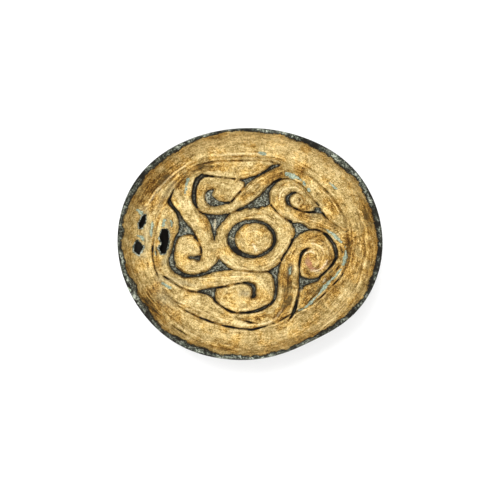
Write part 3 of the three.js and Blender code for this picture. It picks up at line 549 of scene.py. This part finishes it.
def section_places(share, turn, section, field_share):
    """Radius and rise for shares of the way out: the field first, then the section by its length."""
    shares, rises = np.array(section).T
    span = RADIUS - FIELD_RADIUS
    length = np.concatenate([[0], np.cumsum(np.hypot(np.diff(shares) * span, np.diff(rises)))])
    way = np.clip((share - field_share) / (1 - field_share), 0, 1) * length[-1]
    on_section = np.interp(way, length, shares)
    rise = np.interp(way, length, rises)
    field, rim = field_radius(turn), rim_radius(turn)
    foot = field + (rim - field) * shares[0]
    radius = np.where(share < field_share, foot * share / field_share, field + (rim - field) * on_section)
    return radius, rise


# The grids' squares a side, SEAM of the face's to one of the back's, and the share of each on the field.
FRONT_COUNT = 300
SEAM = 4
BACK_COUNT = FRONT_COUNT // SEAM
FRONT_FIELD = 0.76
BACK_FIELD = 0.6
GRAIN_RADIUS = 19
HIGHEST = 4.0

# The border ridge: its place and width as shares of the way out, its rise, and the turns that it spans.
BORDER_AT = 0.13
BORDER_WIDTH = 0.03
BORDER_RISE = 0.2
BORDER_MIDDLE = 82
BORDER_HALF = 118
BORDER_FADE = 40

# The surface's masks behind the face.
ON_BACK = {"bare": 1.0, "ground": 0.85, "brown_and_shade": 1.0}


def border(share_out, turn):
    """The ridge round the field's top and sides, which fades out towards the bottom."""
    away = np.abs(turned(turn, BORDER_MIDDLE))
    ridge = BORDER_RISE * bell(share_out - BORDER_AT, BORDER_WIDTH)
    return ridge * (1 - smooth(BORDER_HALF - BORDER_FADE, BORDER_HALF, away))


def face_masks(x, y, turn, outward, carved):
    """How much of each kind of surface, and of painted shade and highlight, there is at each point of the
    face.
    """
    share_out, rim_share, lip, on_wall = outward
    depth, cut, ridge = carved
    on_field = 1 - on_wall
    waver = 0.06 * rough(x, y, 0.4, 23)
    bare = (1 - smooth(-0.1, 0.06, depth + waver)) * on_field
    hollow = smooth(0.06, 0.4, -depth + waver) * on_field
    crusted = hollow * np.clip(0.8 + 0.5 * rough(x, y, 1.6, 37) - 0.9 * patches(x, y, BLACK_PATCHES), 0, 1)
    return {
        "bare": np.maximum.reduce([bare, np.clip(1.05 * cut, 0, 1), smooth(0.93, 0.97, share_out)]),
        "ground": np.maximum(crusted, speckled_lip(x, y, turn, lip)),
        "lip": np.maximum(rim_share, 0),
        # Brown stains and the brown in the cut lines, with painted shade: the bands darkened towards their
        # edges.
        "brown_and_shade": np.maximum.reduce([
            patches(x, y, BROWN_PATCHES), painted(x, y, BROWN_STROKES), np.clip(2 * cut, 0, 1),
            0.4 * (1 - smooth(0, 0.35, depth)) * on_field,
        ]),
        # Paler gilding on patches and worn ridges, with painted highlights: the ridges and the bands' middles
        # lighter as lit crowns.
        "pale_and_highlight": np.maximum.reduce([
            patches(x, y, PALE_PATCHES), 13 * ridge, 0.5 * smooth(0.3, 1.1, depth) * on_field,
        ]),
        "red": painted(x, y, RED_STROKES, 0.35),
        # Painted highlights and glints, with a few pale specks.
        "white": painted(x, y, WHITE_STROKES, 0.16),
        "grey": np.maximum(patches(x, y, GREY_PATCHES), painted(x, y, GREY_STROKES)),
        "green": lines(x, y, GREEN_LINES),
    }


def front_surface():
    share, turn, quads, edge = disc_grid(FRONT_COUNT)
    radius, rise = section_places(share, turn, INSIDE_SECTION, FRONT_FIELD)
    x, y = polar(turn, radius).T
    ornament, depth, cut, ridge = relief(x, y)
    field, rim = field_radius(turn), rim_radius(turn)
    share_out = (radius - field) / (rim - field)
    on_wall = smooth(-0.35, 0.1, radius - field)
    rim_share = share_out + 0.035 * rough(x, y, 2.4, 5) + 0.02 * rough(x, y, 0.8, 7)
    rim_share = rim_share + patches(x, y, LIP_PATCHES)
    lip = smooth(0.84, 0.88, rim_share)
    wall = rise + border(share_out, turn) + ridge - WALL_CUT * cut
    height = ornament * (1 - on_wall) + wall * on_wall
    height = height + 0.025 * rough(x, y, 1.3, 11) + lip * 0.09 * rough(x, y, 0.7, 17)
    height = np.minimum(height, HIGHEST)
    wall_grain = np.stack([np.radians(turn) * GRAIN_RADIUS, radius, np.full(x.shape, 90.0)], -1)
    grain = np.where((radius > field)[:, None], wall_grain, band_grain(x, y))
    masks = face_masks(x, y, turn, (share_out, rim_share, lip, on_wall), (depth, cut, ridge))
    return x, y, height, quads, edge, masks, grain


def back_surface():
    share, turn, quads, edge = disc_grid(BACK_COUNT)
    radius, rise = section_places(share, turn, OUTSIDE_SECTION[::-1], BACK_FIELD)
    x, y = polar(turn, radius).T
    rise = rise + 0.03 * rough(x, y, 3.0, 41) * (share < 0.98)
    return x, y, rise, quads, edge


def brooch_mesh():
    """The casting without its fittings, centred, and how far its middle was from the plan's."""
    x, y, height, quads, edge, masks, grain = front_surface()
    back_x, back_y, back_height, back_quads, back_edge = back_surface()
    count = len(x)
    keep = np.ones(len(back_x), bool)
    keep[back_edge] = False
    place = np.empty(len(back_x), int)
    place[keep] = count + np.arange(keep.sum())
    place[back_edge] = edge[::SEAM]
    points = np.stack([
        np.concatenate([x, back_x[keep]]),
        np.concatenate([y, back_y[keep]]) * OVAL,
        FLOOR + np.concatenate([height, back_height[keep]]),
    ], -1)
    middle = (points.min(axis=0) + points.max(axis=0)) / 2
    points[:, :2] -= middle[:2]
    ring = np.append(edge, edge[0])
    seam = [[ring[i], ring[i + SEAM], *ring[i + SEAM - 1:i:-1]] for i in range(0, len(edge), SEAM)]
    faces = quads.tolist() + place[back_quads][:, ::-1].tolist() + [[int(i) for i in face] for face in seam]
    mesh = bpy.data.meshes.new("brooch_casting")
    mesh.from_pydata((points * MM).tolist(), [], faces)
    back_grain = np.stack([back_x, back_y, np.full(len(back_x), 120.0)], -1)[keep]
    for name, values in masks.items():
        layer = mesh.attributes.new(name, "FLOAT", "POINT")
        other = np.full(keep.sum(), ON_BACK.get(name, 0.0))
        layer.data.foreach_set("value", np.concatenate([values, other]).astype(np.float32))
    layer = mesh.attributes.new("grain", "FLOAT_VECTOR", "POINT")
    layer.data.foreach_set("vector", np.vstack([grain, back_grain]).astype(np.float32).ravel())
    mesh.validate()
    return mesh, middle[:2]


FITTING_REACH = 10.6
FITTING_ROOT = 0.5
FITTING_TOP = FITTING_DROP + FITTING_ROOT
ROUNDING = 0.18
LUG_LENGTH = 5.2
LUG_THICK = 1.3
LUG_APART = 4.6
LUG_CORNER = 1.7
EYE_HEIGHT = 2.5
EYE_RADIUS = 0.8
CATCH_LENGTH = 6.4
CATCH_THICK = 1.3
CATCH_CORNER = 0.45
CATCH_NECK = 4.0
HOOK_REACH = 3.6
HOOK_RISE = 2.6
HOOK_ROUNDING = 0.2


def arc(centre, radius, first, last, count=9):
    return polar(np.linspace(first, last, count), radius, centre)


def pulled_in(outline, by):
    """A closed outline moved inwards; the outline turns left."""
    before, after = np.roll(outline, 1, axis=0), np.roll(outline, -1, axis=0)
    run = after - before
    run /= np.hypot(run[:, 0], run[:, 1])[:, None]
    return outline + by * np.stack([-run[:, 1], run[:, 0]], -1)


def ringed(rings, closed):
    """Quads between rings of points, which also join last to first or are capped at both ends."""
    count = len(rings[0])
    points = np.vstack(rings)
    faces = []
    for number in range(len(rings) - (0 if closed else 1)):
        here, there = number * count, (number + 1) % len(rings) * count
        for i in range(count):
            after = (i + 1) % count
            faces.append([here + i, here + after, there + after, there + i])
    if not closed:
        faces += [list(range(count))[::-1], list(range(len(points) - count, len(points)))]
    return points, faces


def lug(side):
    """A plate with rounded lower corners, pierced for the pin, standing across the casting's back."""
    half = LUG_LENGTH / 2
    outline = np.vstack([
        np.linspace((-half, FITTING_TOP), (-half, LUG_CORNER + 0.5), 8),
        arc((-half + LUG_CORNER, LUG_CORNER), LUG_CORNER, 180, 270),
        arc((half - LUG_CORNER, LUG_CORNER), LUG_CORNER, 270, 360),
        np.linspace((half, LUG_CORNER + 0.5), (half, FITTING_TOP), 8),
        np.linspace((half - 0.7, FITTING_TOP), (-half + 0.7, FITTING_TOP), 7),
    ])
    away = outline - (0, EYE_HEIGHT)
    spoke = away / np.hypot(away[:, 0], away[:, 1])[:, None]
    eye, eye_wide = (0, EYE_HEIGHT) + spoke * EYE_RADIUS, (0, EYE_HEIGHT) + spoke * (EYE_RADIUS + ROUNDING)
    inner = pulled_in(outline, ROUNDING)
    face, edge = LUG_THICK / 2, LUG_THICK / 2 - ROUNDING
    rings = [
        (eye_wide, face), (inner, face), (outline, edge), (outline, -edge), (inner, -face),
        (eye_wide, -face), (eye, -edge), (eye, edge),
    ]
    middle = side * LUG_APART / 2
    placed = [np.stack([ring[:, 0] - FITTING_REACH, np.full(len(ring), middle - out), ring[:, 1]], -1)
              for ring, out in rings]
    return ringed(placed, True)


def pin_catch():
    """A plate whose lower end is turned up into a hook, across the casting's back."""
    corner, thick = CATCH_CORNER, CATCH_THICK
    inside, inner_round = HOOK_REACH - thick, thick + HOOK_ROUNDING
    outline = np.vstack([
        [(0, FITTING_TOP), (0, CATCH_NECK)],
        arc((corner, corner), corner, 180, 270, 5),
        arc((HOOK_REACH - corner, corner), corner, 270, 360, 5),
        [(HOOK_REACH, HOOK_RISE), (inside, HOOK_RISE), (inside, inner_round)],
        [(inside - HOOK_ROUNDING, thick), (inner_round, thick), (thick, inner_round)],
        [(thick, CATCH_NECK), (thick, FITTING_TOP)],
    ])
    inner = pulled_in(outline, ROUNDING)
    end, edge = CATCH_LENGTH / 2, CATCH_LENGTH / 2 - ROUNDING
    rings = [(inner, end), (outline, edge), (outline, -edge), (inner, -end)]
    placed = [np.stack([np.full(len(ring), FITTING_REACH - out), ring[:, 0] - HOOK_REACH / 2, ring[:, 1]], -1)
              for ring, out in rings]
    return ringed(placed, False)


def add_object(name, data):
    made = bpy.data.objects.new(name, data)
    bpy.context.scene.collection.objects.link(made)
    return made


def add_fittings(mesh, shift):
    """Put the pin's lugs and the catch behind the casting, with the back's masks."""
    plan = bmesh.new()
    plan.from_mesh(mesh)
    layers = {name: plan.verts.layers.float[name] for name in ON_BACK}
    for points, faces in (lug(1), lug(-1), pin_catch()):
        uneven = np.stack([rough(points[:, 1], points[:, 2], 1.1, seed) for seed in (3, 5, 9)], -1)
        points = points + 0.05 * uneven
        points[:, :2] -= shift
        points[:, 2] = np.maximum(points[:, 2], 0)
        corners = [plan.verts.new(point * MM) for point in points]
        for corner in corners:
            for name, layer in layers.items():
                corner[layer] = ON_BACK[name]
        for face in faces:
            plan.faces.new([corners[i] for i in face])
    bmesh.ops.recalc_face_normals(plan, faces=plan.faces)
    plan.to_mesh(mesh)
    plan.free()


def ragged(outline):
    """The outline with points added between its corners and all of them moved a little."""
    corners = np.array(outline)
    points = np.stack([corners, (corners + np.roll(corners, -1, axis=0)) / 2], 1).reshape(-1, 2)
    x, y = points.T
    return points + 0.13 * np.stack([rough(x, y, 0.7, 81), rough(x, y, 0.7, 91)], -1)


def pit_outline(outline):
    """The pit's ragged outline, turning left."""
    points = softened(ragged(outline))
    after = np.roll(points, -1, axis=0)
    if np.sum(points[:, 0] * after[:, 1] - after[:, 0] * points[:, 1]) < 0:
        points = points[::-1]
    return points


def pit_cutter(shift):
    """A mesh of upright prisms, one for each pit."""
    points, faces = [], []
    for bottom, outline in PITS:
        plan = (pit_outline(outline) * (1, OVAL) - shift) * MM
        levels = [(FLOOR + level) * MM for level in (bottom, HIGHEST)]
        rings = [np.column_stack([plan, np.full(len(plan), level)]) for level in levels]
        ring_points, ring_faces = ringed(rings, False)
        faces += [[i + len(points) for i in face] for face in ring_faces]
        points += ring_points.tolist()
    mesh = bpy.data.meshes.new("cutter")
    mesh.from_pydata(points, [], faces)
    return mesh


def cut_pits(brooch, shift):
    """Cut the corroded pits into the casting."""
    cutter = add_object("cutter", pit_cutter(shift))
    modifier = brooch.modifiers.new("pits", "BOOLEAN")
    modifier.operation = "DIFFERENCE"
    modifier.solver = "EXACT"
    modifier.object = cutter
    bpy.context.view_layer.objects.active = brooch
    bpy.ops.object.modifier_apply(modifier=modifier.name)
    bpy.data.objects.remove(cutter)


def darken_pits(mesh, shift):
    """Paint the pits black inside, as shade, and crust the metal round them."""
    places = np.empty(len(mesh.vertices) * 3, np.float32)
    mesh.vertices.foreach_get("co", places)
    x, y, z = (places.reshape(-1, 3) / MM).T
    x, y = x + shift[0], (y + shift[1]) / OVAL
    away = np.min([away_from_line(x, y, pit_outline(outline)) for _, outline in PITS], axis=0)
    above = z > FLOOR - PLATE + 0.1
    # Painted shade: the pits' insides are made bare and black, as dark as a hole through the plate.
    inside = above & (away < 0.02)
    edge = 1 - smooth(0.1, 0.45, away + 0.15 * rough(x, y, 0.5, 71))
    for name, round_pit, in_pit in (("bare", 0.75 * edge, 1.0), ("ground", edge, 0.0)):
        layer = mesh.attributes[name]
        values = np.empty(len(mesh.vertices), np.float32)
        layer.data.foreach_get("value", values)
        values = np.where(above, np.maximum(values, round_pit), values)
        values = np.where(inside, in_pit, values)
        layer.data.foreach_set("value", values.astype(np.float32))


class Shader:
    """A small helper that adds nodes to a material and joins them."""

    def __init__(self, name):
        self.material = bpy.data.materials.new(name)
        self.material.use_nodes = True
        self.tree = self.material.node_tree
        self.surface = self.tree.nodes["Principled BSDF"]

    def add(self, kind, inputs=None, **settings):
        node = self.tree.nodes.new(kind)
        for name, value in settings.items():
            setattr(node, name, value)
        for name, value in (inputs or {}).items():
            self.set(node.inputs[name], value)
        return node

    def set(self, socket, value):
        if isinstance(value, bpy.types.NodeSocket):
            self.tree.links.new(value, socket)
        else:
            socket.default_value = value

    def attribute(self, name):
        return self.add("ShaderNodeAttribute", attribute_name=name)

    def math(self, operation, first, second=0.0):
        return self.add("ShaderNodeMath", {0: first, 1: second}, operation=operation).outputs[0]

    def weighted(self, *terms, offset):
        total = offset
        for value, weight in terms:
            total = self.math("ADD", self.math("MULTIPLY", value, weight), total)
        return total

    def span(self, value, low, high, to_low=0.0, to_high=1.0):
        inputs = {"Value": value, "From Min": low, "From Max": high, "To Min": to_low, "To Max": to_high}
        return self.add("ShaderNodeMapRange", inputs, interpolation_type="SMOOTHSTEP").outputs[0]

    def scaled(self, vector, scale):
        node = self.add("ShaderNodeVectorMath", {0: vector, 1: scale}, operation="MULTIPLY")
        return node.outputs[0]

    def noise(self, vector, scale, detail=3.0, roughness=0.6):
        inputs = {"Vector": vector, "Scale": scale, "Detail": detail, "Roughness": roughness}
        return self.add("ShaderNodeTexNoise", inputs).outputs[0]

    def mix(self, share, first, second):
        node = self.add("ShaderNodeMix", data_type="RGBA")
        for index, value in ((0, share), (6, first), (7, second)):
            self.set(node.inputs[index], value)
        return node.outputs[2]

    def ramp(self, share, stops):
        node = self.add("ShaderNodeValToRGB", {"Fac": share})
        elements = node.color_ramp.elements
        while len(elements) < len(stops):
            elements.new(1.0)
        for element, (position, colour) in zip(elements, stops):
            element.position = position
            element.color = (*colour, 1)
        return node.outputs[0]


MASKS = ("bare", "ground", "lip", "brown_and_shade", "pale_and_highlight", "red", "white", "grey", "green")
RED_COPPER = (0.42, 0.17, 0.1, 1)
# Dark stain, which is also painted shade where the brown patches darken the walls; it also edges the green
# crust.
DARK_STAIN_AND_SHADE = (0.07, 0.047, 0.017, 1)
# The colour of the painted glints and of a few pale specks.
GLINT_AND_PALE_SPECK_GOLD = (0.9, 0.78, 0.5, 1)
GREY_PATINA = (0.24, 0.24, 0.17, 1)
BROWN_PATINA = (0.085, 0.06, 0.032, 1)
# Black patina, which is also the painted shade in the pits and along the lip.
BLACK_PATINA_AND_SHADE = (0.01, 0.0085, 0.006, 1)
BUMP_DEPTH = 0.22

# Colour ramps, each as stops of a noise's value and a colour.
GOLD = [
    (0.05, (0.11, 0.068, 0.021)), (0.28, (0.235, 0.155, 0.048)), (0.44, (0.385, 0.27, 0.096)),
    (0.6, (0.57, 0.425, 0.175)), (0.85, (0.86, 0.71, 0.39)),
]
OCHRE = [
    (0.05, (0.045, 0.022, 0.006)), (0.26, (0.16, 0.078, 0.016)), (0.42, (0.36, 0.197, 0.042)),
    (0.6, (0.605, 0.39, 0.105)), (0.85, (0.93, 0.72, 0.31)),
]
GRIT = [
    (0.43, (0.006, 0.008, 0.005)), (0.48, (0.038, 0.045, 0.033)), (0.525, (0.15, 0.17, 0.125)),
    (0.58, (0.6, 0.63, 0.51)),
]
GREEN_CRUST = [
    (0.3, (0.05, 0.065, 0.047)), (0.44, (0.19, 0.235, 0.165)), (0.58, (0.37, 0.43, 0.325)),
    (0.75, (0.62, 0.67, 0.53)),
]


def gold_colour(shade, mask, places, noises):
    """Gilding from gold to ochre, with red, brown and grey stains; the brown also carries painted shade, the
    pale painted highlights.
    """
    streaks, clouds, mottle, specks, fine = noises
    brown_streaks = shade.math("MULTIPLY", mask["brown_and_shade"], streaks)
    value = shade.weighted((streaks, 0.75), (clouds, 0.6), (mottle, 1.0), (specks, 0.92), (fine, 1.3),
                           (mask["pale_and_highlight"], 0.12), (mask["brown_and_shade"], -0.58), (brown_streaks, 0.8), offset=-1.81)
    gold = shade.ramp(value, GOLD)
    warm = shade.weighted((mask["brown_and_shade"], 0.8), (shade.noise(places, 0.4, 3.0, 0.6), 4.0), offset=-1.82)
    gold = shade.mix(shade.span(warm, 0.0, 1.0), gold, shade.ramp(value, OCHRE))
    reddened = shade.span(shade.math("MULTIPLY", mask["red"], mottle), 0.3, 0.7)
    gold = shade.mix(reddened, gold, RED_COPPER)
    # Dark stain where the brown is strong, and so also painted shade where the brown carries it.
    stain_and_shade = shade.math("MULTIPLY", mask["brown_and_shade"], shade.noise(places, 0.9, 4.0, 0.75))
    gold = shade.mix(shade.span(stain_and_shade, 0.42, 0.54, 0.0, 0.8), gold, DARK_STAIN_AND_SHADE)
    return shade.mix(shade.math("MULTIPLY", mask["grey"], specks), gold, GREY_PATINA)


def patina_colour(shade, mask, places, clouds, rim):
    """Gritty patina where the gilding is gone, with a black line of painted shade at each side of the lip."""
    grit = shade.weighted((shade.noise(places, 3.0, 4.0, 0.85), 0.8), (clouds, 0.2), offset=0.0)
    browning = shade.span(shade.noise(places, 0.25, 5.0, 0.65), 0.42, 0.6, 0.45, 0.9)
    patina = shade.mix(shade.math("MULTIPLY", mask["brown_and_shade"], browning), shade.ramp(grit, GRIT), BROWN_PATINA)
    patina = shade.mix(mask["ground"], BLACK_PATINA_AND_SHADE, patina)
    # Painted shade: black lines along the lip's inner and outer edges.
    inner_shade_line = shade.span(shade.math("ABSOLUTE", shade.math("SUBTRACT", rim, 0.87)), 0.008, 0.034, 0.9, 0.0)
    outer_shade_line = shade.span(rim, 0.975, 1.01)
    return shade.mix(shade.math("MAXIMUM", inner_shade_line, outer_shade_line), patina, BLACK_PATINA_AND_SHADE)


def gilding_material():
    """Worn gilding over patinated metal: gold high, dark patina low, with painted shade and highlights laid
    in.
    """
    shade = Shader("worn_gilding")
    mask = {name: shade.attribute(name).outputs["Fac"] for name in MASKS}
    places = shade.scaled(shade.add("ShaderNodeTexCoord").outputs["Object"], [1 / MM] * 3)
    grain = shade.attribute("grain").outputs["Vector"]
    streaks = shade.noise(shade.scaled(grain, (0.3, 3.6, 1)), 1.0, 4.0, 0.7)
    clouds = shade.noise(places, 0.45, 4.0, 0.6)
    mottle = shade.noise(places, 1.3, 4.0, 0.7)
    specks = shade.noise(places, 3.6, 3.0, 0.8)
    fine = shade.noise(places, 6.5, 2.0, 0.8)
    gold = gold_colour(shade, mask, places, (streaks, clouds, mottle, specks, fine))
    rim = shade.weighted((mask["lip"], 1.0), (mottle, 0.14), (specks, 0.16), (fine, 0.06), offset=-0.18)
    edge = shade.weighted((mask["bare"], 1.0), (specks, 0.8), offset=-0.4)
    bare = shade.math("MAXIMUM", shade.span(edge, 0.3, 0.62), shade.span(rim, 0.84, 0.855))
    colour = shade.mix(bare, gold, patina_colour(shade, mask, places, clouds, rim))
    # Painted highlights: glints laid over every other colour where the white strokes run.
    glint = shade.math("MULTIPLY", mask["white"], shade.span(specks, 0.36, 0.58))
    colour = shade.mix(glint, colour, GLINT_AND_PALE_SPECK_GOLD)
    crusting = shade.math("MULTIPLY", mask["green"], shade.math("ADD", specks, 0.5))
    colour = shade.mix(shade.span(crusting, 0.15, 0.4, 0.0, 0.6), colour, DARK_STAIN_AND_SHADE)
    green = shade.span(crusting, 0.4, 0.65)
    colour = shade.mix(green, colour, shade.ramp(specks, GREEN_CRUST))
    dull = shade.math("MAXIMUM", bare, green)
    height = shade.weighted((streaks, 0.5), (mottle, 0.4), (specks, 0.7), (fine, 0.35), offset=0.0)
    bump = shade.add("ShaderNodeBump", {"Height": height, "Strength": 1.0, "Distance": BUMP_DEPTH * MM})
    inputs = {
        "Base Color": colour, "Specular IOR Level": 0.15, "Normal": bump.outputs[0],
        "Metallic": shade.span(dull, 0.0, 1.0, 0.75, 0.1),
        "Roughness": shade.span(dull, 0.0, 1.0, 0.45, 0.75),
    }
    for name, value in inputs.items():
        shade.set(shade.surface.inputs[name], value)
    return shade.material


def add_brooch():
    mesh, shift = brooch_mesh()
    mesh.materials.append(gilding_material())
    brooch = add_object("brooch_casting", mesh)
    cut_pits(brooch, shift)
    darken_pits(brooch.data, shift)
    add_fittings(brooch.data, shift)
    brooch.data.polygons.foreach_set("use_smooth", [True] * len(brooch.data.polygons))
    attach(brooch, "root")
    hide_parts(NODE)


# The floor and the lights in metres, lights as (name, place, size, watts).
FLOOR_WIDTH = 4.0
WORLD_LIGHT = 0.9
LIGHTS = [("key", (-0.13, 0.28, 0.56), 0.42, 3.5), ("fill", (0.1, -0.5, 0.42), 0.3, 2.4)]

# How wide the photo and the brooch in it are in pixels, and the brooch in millimetres.
PHOTO_WIDTH = 500
BROOCH_PIXELS = 265.5
BROOCH_WIDTH = 44.02


def add_floor():
    mesh = bpy.data.meshes.new("floor")
    half = FLOOR_WIDTH / 2
    corners = [(-half, -half, 0), (half, -half, 0), (half, half, 0), (-half, half, 0)]
    mesh.from_pydata(corners, [], [(0, 1, 2, 3)])
    floor = add_object("floor", mesh)
    shade = Shader("floor_white")
    shade.set(shade.surface.inputs["Base Color"], (0.9, 0.9, 0.9, 1))
    mesh.materials.append(shade.material)


def add_lights():
    world = bpy.data.worlds.new("studio")
    bpy.context.scene.world = world
    world.use_nodes = True
    background = world.node_tree.nodes["Background"].inputs
    background["Color"].default_value = (1, 1, 1, 1)
    background["Strength"].default_value = WORLD_LIGHT
    bpy.context.scene.view_settings.view_transform = "Standard"
    for name, place, width, power in LIGHTS:
        data = bpy.data.lights.new(name, "AREA")
        data.energy = power
        data.size = width
        light = add_object(name, data)
        light.location = place
        light.rotation_euler = (-Vector(place)).to_track_quat("-Z", "Y").to_euler()


def add_camera():
    """Straight above the middle, where the brooch is as wide in the frame as in the photo."""
    data = bpy.data.cameras.new("camera")
    data.sensor_width = 36
    data.lens = 200
    data.clip_start = 0.01
    camera = add_object("camera", data)
    frame_width = BROOCH_WIDTH * PHOTO_WIDTH / BROOCH_PIXELS
    camera.location = (0, 0, (FLOOR + HIGHEST + frame_width * data.lens / data.sensor_width) * MM)
    bpy.context.scene.camera = camera


add_brooch()
add_floor()
add_lights()
add_camera()
